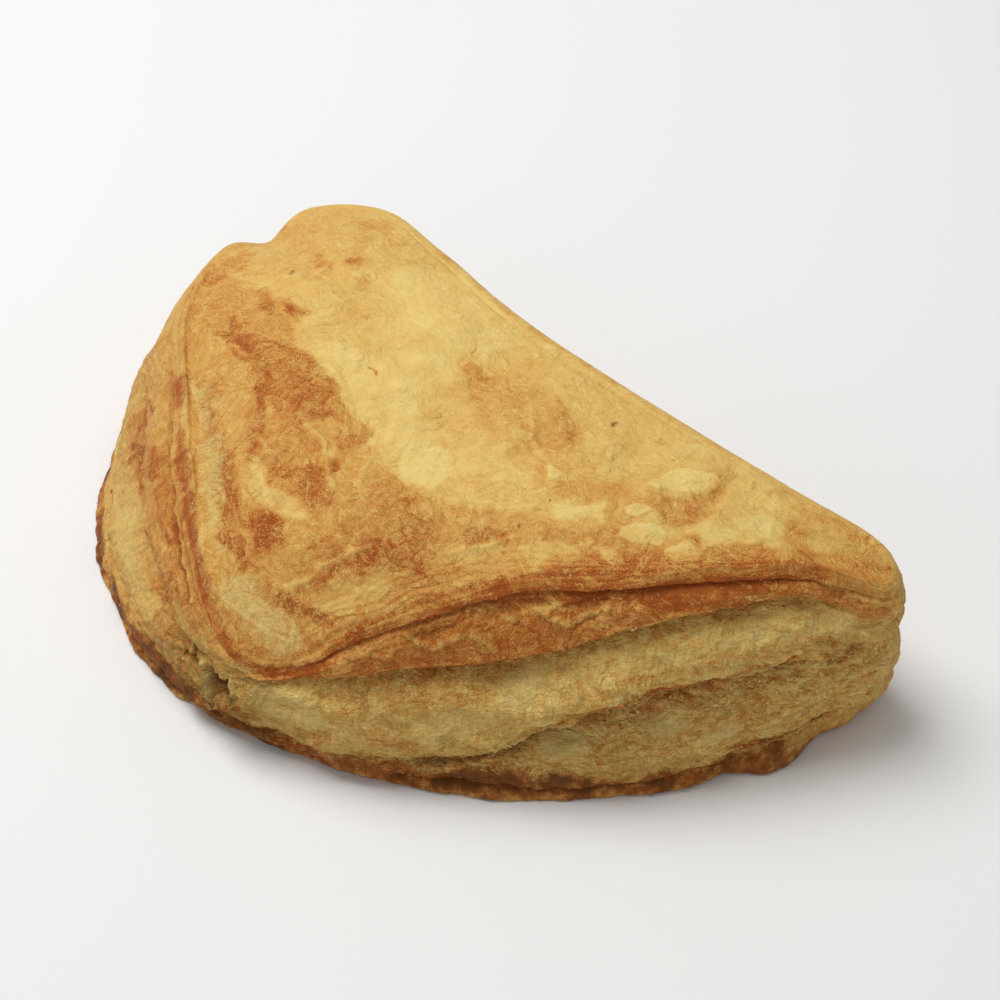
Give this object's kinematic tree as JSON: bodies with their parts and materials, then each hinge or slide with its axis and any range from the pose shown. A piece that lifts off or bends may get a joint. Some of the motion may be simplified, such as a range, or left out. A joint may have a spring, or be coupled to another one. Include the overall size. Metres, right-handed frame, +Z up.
{
  "type": "tiropita",
  "caption": "Folded puff pastry cheese pie with a domed crust, layered open edges and a flat base.",
  "frame": {"origin": "centre of the bounding box's bottom face, on the surface that the pie lies on", "axes": "+X along the pie's length towards its narrow tip, +Y towards the straight fold, +Z up through the crust"},
  "size_m": [0.1688, 0.1026, 0.0472],
  "materials": {
    "pastry": "baked puff pastry, golden with browned lips and spots, satin where the butter came through"
  },
  "bodies": {
    "root": {"pastry": "pastry"}
  },
  "joints": []
}
